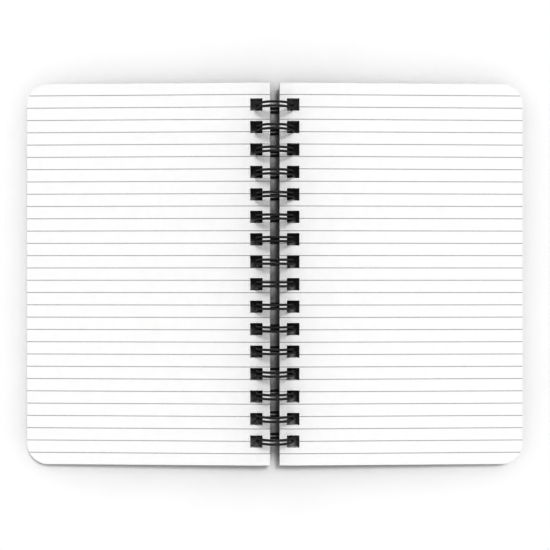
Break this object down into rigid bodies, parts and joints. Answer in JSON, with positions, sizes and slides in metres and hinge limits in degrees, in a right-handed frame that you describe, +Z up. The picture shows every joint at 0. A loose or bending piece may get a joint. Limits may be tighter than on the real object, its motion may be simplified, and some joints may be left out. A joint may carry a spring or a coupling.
{
  "type": "wire bound pocket notebook",
  "caption": "Pocket notebook lying open: ruled round-cornered leaves and card covers that turn on a black twin-loop wire spine.",
  "frame": {"origin": "on the surface that the open notebook lies on, under the middle of the spine", "axes": "+X across the open spread towards the right page's outer edge, +Y along the spine towards the top of the page, +Z up out of the open pages"},
  "size_m": [0.1882, 0.1442, 0.0146],
  "materials": {
    "wire": "black nylon coated steel wire, satin",
    "cover_card": "dark grey through-dyed card, matte",
    "ruled_paper": "smooth uncoated white paper with fine pale grey ruling"
  },
  "bodies": {
    "twin_loop_wire": {"twin_loop_wire": "wire"},
    "front_cover": {"front_cover": "cover_card"},
    "back_cover": {"back_cover": "cover_card"},
    "left_leaf_1": {"left_leaf_1": "ruled_paper"},
    "left_leaf_2": {"left_leaf_2": "ruled_paper"},
    "left_leaf_3": {"left_leaf_3": "ruled_paper"},
    "left_leaf_4": {"left_leaf_4": "ruled_paper"},
    "left_leaf_5": {"left_leaf_5": "ruled_paper"},
    "left_leaf_6": {"left_leaf_6": "ruled_paper"},
    "left_leaf_7": {"left_leaf_7": "ruled_paper"},
    "left_leaf_8": {"left_leaf_8": "ruled_paper"},
    "left_leaf_9": {"left_leaf_9": "ruled_paper"},
    "left_leaf_10": {"left_leaf_10": "ruled_paper"},
    "left_leaf_11": {"left_leaf_11": "ruled_paper"},
    "left_leaf_12": {"left_leaf_12": "ruled_paper"},
    "left_leaf_13": {"left_leaf_13": "ruled_paper"},
    "left_leaf_14": {"left_leaf_14": "ruled_paper"},
    "left_leaf_15": {"left_leaf_15": "ruled_paper"},
    "left_leaf_16": {"left_leaf_16": "ruled_paper"},
    "left_leaf_17": {"left_leaf_17": "ruled_paper"},
    "left_leaf_18": {"left_leaf_18": "ruled_paper"},
    "left_leaf_19": {"left_leaf_19": "ruled_paper"},
    "left_leaf_20": {"left_leaf_20": "ruled_paper"},
    "left_leaf_21": {"left_leaf_21": "ruled_paper"},
    "left_leaf_22": {"left_leaf_22": "ruled_paper"},
    "left_leaf_23": {"left_leaf_23": "ruled_paper"},
    "left_leaf_24": {"left_leaf_24": "ruled_paper"},
    "left_leaf_25": {"left_leaf_25": "ruled_paper"},
    "right_leaf_1": {"right_leaf_1": "ruled_paper"},
    "right_leaf_2": {"right_leaf_2": "ruled_paper"},
    "right_leaf_3": {"right_leaf_3": "ruled_paper"},
    "right_leaf_4": {"right_leaf_4": "ruled_paper"},
    "right_leaf_5": {"right_leaf_5": "ruled_paper"},
    "right_leaf_6": {"right_leaf_6": "ruled_paper"},
    "right_leaf_7": {"right_leaf_7": "ruled_paper"},
    "right_leaf_8": {"right_leaf_8": "ruled_paper"},
    "right_leaf_9": {"right_leaf_9": "ruled_paper"},
    "right_leaf_10": {"right_leaf_10": "ruled_paper"},
    "right_leaf_11": {"right_leaf_11": "ruled_paper"},
    "right_leaf_12": {"right_leaf_12": "ruled_paper"},
    "right_leaf_13": {"right_leaf_13": "ruled_paper"},
    "right_leaf_14": {"right_leaf_14": "ruled_paper"},
    "right_leaf_15": {"right_leaf_15": "ruled_paper"},
    "right_leaf_16": {"right_leaf_16": "ruled_paper"},
    "right_leaf_17": {"right_leaf_17": "ruled_paper"},
    "right_leaf_18": {"right_leaf_18": "ruled_paper"},
    "right_leaf_19": {"right_leaf_19": "ruled_paper"},
    "right_leaf_20": {"right_leaf_20": "ruled_paper"},
    "right_leaf_21": {"right_leaf_21": "ruled_paper"},
    "right_leaf_22": {"right_leaf_22": "ruled_paper"},
    "right_leaf_23": {"right_leaf_23": "ruled_paper"},
    "right_leaf_24": {"right_leaf_24": "ruled_paper"},
    "right_leaf_25": {"right_leaf_25": "ruled_paper"}
  },
  "joints": [
    {"name": "front_cover_turn", "type": "hinge", "parent": "twin_loop_wire", "child": "front_cover", "pos_m": [0, 0, 0.0073], "axis": [0, 1, 0], "range_deg": [-18, 180]},
    {"name": "back_cover_turn", "type": "hinge", "parent": "twin_loop_wire", "child": "back_cover", "pos_m": [0, 0, 0.0073], "axis": [0, -1, 0], "range_deg": [-18, 180]},
    {"name": "left_leaf_1_turn", "type": "hinge", "parent": "left_leaf_2", "child": "left_leaf_1", "pos_m": [0, 0, 0.0073], "axis": [0, 1, 0], "range_deg": [0, 180]},
    {"name": "right_leaf_1_turn", "type": "hinge", "parent": "right_leaf_2", "child": "right_leaf_1", "pos_m": [0, 0, 0.0073], "axis": [0, -1, 0], "range_deg": [0, 180]},
    {"name": "left_leaf_2_turn", "type": "hinge", "parent": "left_leaf_3", "child": "left_leaf_2", "pos_m": [0, 0, 0.0073], "axis": [0, 1, 0], "range_deg": [0, 180]},
    {"name": "right_leaf_2_turn", "type": "hinge", "parent": "right_leaf_3", "child": "right_leaf_2", "pos_m": [0, 0, 0.0073], "axis": [0, -1, 0], "range_deg": [0, 180]},
    {"name": "left_leaf_3_turn", "type": "hinge", "parent": "left_leaf_4", "child": "left_leaf_3", "pos_m": [0, 0, 0.0073], "axis": [0, 1, 0], "range_deg": [0, 180]},
    {"name": "right_leaf_3_turn", "type": "hinge", "parent": "right_leaf_4", "child": "right_leaf_3", "pos_m": [0, 0, 0.0073], "axis": [0, -1, 0], "range_deg": [0, 180]},
    {"name": "left_leaf_4_turn", "type": "hinge", "parent": "left_leaf_5", "child": "left_leaf_4", "pos_m": [0, 0, 0.0073], "axis": [0, 1, 0], "range_deg": [0, 180]},
    {"name": "right_leaf_4_turn", "type": "hinge", "parent": "right_leaf_5", "child": "right_leaf_4", "pos_m": [0, 0, 0.0073], "axis": [0, -1, 0], "range_deg": [0, 180]},
    {"name": "left_leaf_5_turn", "type": "hinge", "parent": "left_leaf_6", "child": "left_leaf_5", "pos_m": [0, 0, 0.0073], "axis": [0, 1, 0], "range_deg": [0, 180]},
    {"name": "right_leaf_5_turn", "type": "hinge", "parent": "right_leaf_6", "child": "right_leaf_5", "pos_m": [0, 0, 0.0073], "axis": [0, -1, 0], "range_deg": [0, 180]},
    {"name": "left_leaf_6_turn", "type": "hinge", "parent": "left_leaf_7", "child": "left_leaf_6", "pos_m": [0, 0, 0.0073], "axis": [0, 1, 0], "range_deg": [0, 180]},
    {"name": "right_leaf_6_turn", "type": "hinge", "parent": "right_leaf_7", "child": "right_leaf_6", "pos_m": [0, 0, 0.0073], "axis": [0, -1, 0], "range_deg": [0, 180]},
    {"name": "left_leaf_7_turn", "type": "hinge", "parent": "left_leaf_8", "child": "left_leaf_7", "pos_m": [0, 0, 0.0073], "axis": [0, 1, 0], "range_deg": [0, 180]},
    {"name": "right_leaf_7_turn", "type": "hinge", "parent": "right_leaf_8", "child": "right_leaf_7", "pos_m": [0, 0, 0.0073], "axis": [0, -1, 0], "range_deg": [0, 180]},
    {"name": "left_leaf_8_turn", "type": "hinge", "parent": "left_leaf_9", "child": "left_leaf_8", "pos_m": [0, 0, 0.0073], "axis": [0, 1, 0], "range_deg": [0, 180]},
    {"name": "right_leaf_8_turn", "type": "hinge", "parent": "right_leaf_9", "child": "right_leaf_8", "pos_m": [0, 0, 0.0073], "axis": [0, -1, 0], "range_deg": [0, 180]},
    {"name": "left_leaf_9_turn", "type": "hinge", "parent": "left_leaf_10", "child": "left_leaf_9", "pos_m": [0, 0, 0.0073], "axis": [0, 1, 0], "range_deg": [0, 180]},
    {"name": "right_leaf_9_turn", "type": "hinge", "parent": "right_leaf_10", "child": "right_leaf_9", "pos_m": [0, 0, 0.0073], "axis": [0, -1, 0], "range_deg": [0, 180]},
    {"name": "left_leaf_10_turn", "type": "hinge", "parent": "left_leaf_11", "child": "left_leaf_10", "pos_m": [0, 0, 0.0073], "axis": [0, 1, 0], "range_deg": [0, 180]},
    {"name": "right_leaf_10_turn", "type": "hinge", "parent": "right_leaf_11", "child": "right_leaf_10", "pos_m": [0, 0, 0.0073], "axis": [0, -1, 0], "range_deg": [0, 180]},
    {"name": "left_leaf_11_turn", "type": "hinge", "parent": "left_leaf_12", "child": "left_leaf_11", "pos_m": [0, 0, 0.0073], "axis": [0, 1, 0], "range_deg": [0, 180]},
    {"name": "right_leaf_11_turn", "type": "hinge", "parent": "right_leaf_12", "child": "right_leaf_11", "pos_m": [0, 0, 0.0073], "axis": [0, -1, 0], "range_deg": [0, 180]},
    {"name": "left_leaf_12_turn", "type": "hinge", "parent": "left_leaf_13", "child": "left_leaf_12", "pos_m": [0, 0, 0.0073], "axis": [0, 1, 0], "range_deg": [0, 180]},
    {"name": "right_leaf_12_turn", "type": "hinge", "parent": "right_leaf_13", "child": "right_leaf_12", "pos_m": [0, 0, 0.0073], "axis": [0, -1, 0], "range_deg": [0, 180]},
    {"name": "left_leaf_13_turn", "type": "hinge", "parent": "left_leaf_14", "child": "left_leaf_13", "pos_m": [0, 0, 0.0073], "axis": [0, 1, 0], "range_deg": [0, 180]},
    {"name": "right_leaf_13_turn", "type": "hinge", "parent": "right_leaf_14", "child": "right_leaf_13", "pos_m": [0, 0, 0.0073], "axis": [0, -1, 0], "range_deg": [0, 180]},
    {"name": "left_leaf_14_turn", "type": "hinge", "parent": "left_leaf_15", "child": "left_leaf_14", "pos_m": [0, 0, 0.0073], "axis": [0, 1, 0], "range_deg": [0, 180]},
    {"name": "right_leaf_14_turn", "type": "hinge", "parent": "right_leaf_15", "child": "right_leaf_14", "pos_m": [0, 0, 0.0073], "axis": [0, -1, 0], "range_deg": [0, 180]},
    {"name": "left_leaf_15_turn", "type": "hinge", "parent": "left_leaf_16", "child": "left_leaf_15", "pos_m": [0, 0, 0.0073], "axis": [0, 1, 0], "range_deg": [0, 180]},
    {"name": "right_leaf_15_turn", "type": "hinge", "parent": "right_leaf_16", "child": "right_leaf_15", "pos_m": [0, 0, 0.0073], "axis": [0, -1, 0], "range_deg": [0, 180]},
    {"name": "left_leaf_16_turn", "type": "hinge", "parent": "left_leaf_17", "child": "left_leaf_16", "pos_m": [0, 0, 0.0073], "axis": [0, 1, 0], "range_deg": [0, 180]},
    {"name": "right_leaf_16_turn", "type": "hinge", "parent": "right_leaf_17", "child": "right_leaf_16", "pos_m": [0, 0, 0.0073], "axis": [0, -1, 0], "range_deg": [0, 180]},
    {"name": "left_leaf_17_turn", "type": "hinge", "parent": "left_leaf_18", "child": "left_leaf_17", "pos_m": [0, 0, 0.0073], "axis": [0, 1, 0], "range_deg": [0, 180]},
    {"name": "right_leaf_17_turn", "type": "hinge", "parent": "right_leaf_18", "child": "right_leaf_17", "pos_m": [0, 0, 0.0073], "axis": [0, -1, 0], "range_deg": [0, 180]},
    {"name": "left_leaf_18_turn", "type": "hinge", "parent": "left_leaf_19", "child": "left_leaf_18", "pos_m": [0, 0, 0.0073], "axis": [0, 1, 0], "range_deg": [0, 180]},
    {"name": "right_leaf_18_turn", "type": "hinge", "parent": "right_leaf_19", "child": "right_leaf_18", "pos_m": [0, 0, 0.0073], "axis": [0, -1, 0], "range_deg": [0, 180]},
    {"name": "left_leaf_19_turn", "type": "hinge", "parent": "left_leaf_20", "child": "left_leaf_19", "pos_m": [0, 0, 0.0073], "axis": [0, 1, 0], "range_deg": [0, 180]},
    {"name": "right_leaf_19_turn", "type": "hinge", "parent": "right_leaf_20", "child": "right_leaf_19", "pos_m": [0, 0, 0.0073], "axis": [0, -1, 0], "range_deg": [0, 180]},
    {"name": "left_leaf_20_turn", "type": "hinge", "parent": "left_leaf_21", "child": "left_leaf_20", "pos_m": [0, 0, 0.0073], "axis": [0, 1, 0], "range_deg": [0, 180]},
    {"name": "right_leaf_20_turn", "type": "hinge", "parent": "right_leaf_21", "child": "right_leaf_20", "pos_m": [0, 0, 0.0073], "axis": [0, -1, 0], "range_deg": [0, 180]},
    {"name": "left_leaf_21_turn", "type": "hinge", "parent": "left_leaf_22", "child": "left_leaf_21", "pos_m": [0, 0, 0.0073], "axis": [0, 1, 0], "range_deg": [0, 180]},
    {"name": "right_leaf_21_turn", "type": "hinge", "parent": "right_leaf_22", "child": "right_leaf_21", "pos_m": [0, 0, 0.0073], "axis": [0, -1, 0], "range_deg": [0, 180]},
    {"name": "left_leaf_22_turn", "type": "hinge", "parent": "left_leaf_23", "child": "left_leaf_22", "pos_m": [0, 0, 0.0073], "axis": [0, 1, 0], "range_deg": [0, 180]},
    {"name": "right_leaf_22_turn", "type": "hinge", "parent": "right_leaf_23", "child": "right_leaf_22", "pos_m": [0, 0, 0.0073], "axis": [0, -1, 0], "range_deg": [0, 180]},
    {"name": "left_leaf_23_turn", "type": "hinge", "parent": "left_leaf_24", "child": "left_leaf_23", "pos_m": [0, 0, 0.0073], "axis": [0, 1, 0], "range_deg": [0, 180]},
    {"name": "right_leaf_23_turn", "type": "hinge", "parent": "right_leaf_24", "child": "right_leaf_23", "pos_m": [0, 0, 0.0073], "axis": [0, -1, 0], "range_deg": [0, 180]},
    {"name": "left_leaf_24_turn", "type": "hinge", "parent": "left_leaf_25", "child": "left_leaf_24", "pos_m": [0, 0, 0.0073], "axis": [0, 1, 0], "range_deg": [0, 180]},
    {"name": "right_leaf_24_turn", "type": "hinge", "parent": "right_leaf_25", "child": "right_leaf_24", "pos_m": [0, 0, 0.0073], "axis": [0, -1, 0], "range_deg": [0, 180]},
    {"name": "left_leaf_25_turn", "type": "hinge", "parent": "front_cover", "child": "left_leaf_25", "pos_m": [0, 0, 0.0073], "axis": [0, 1, 0], "range_deg": [0, 180]},
    {"name": "right_leaf_25_turn", "type": "hinge", "parent": "back_cover", "child": "right_leaf_25", "pos_m": [0, 0, 0.0073], "axis": [0, -1, 0], "range_deg": [0, 180]}
  ]
}
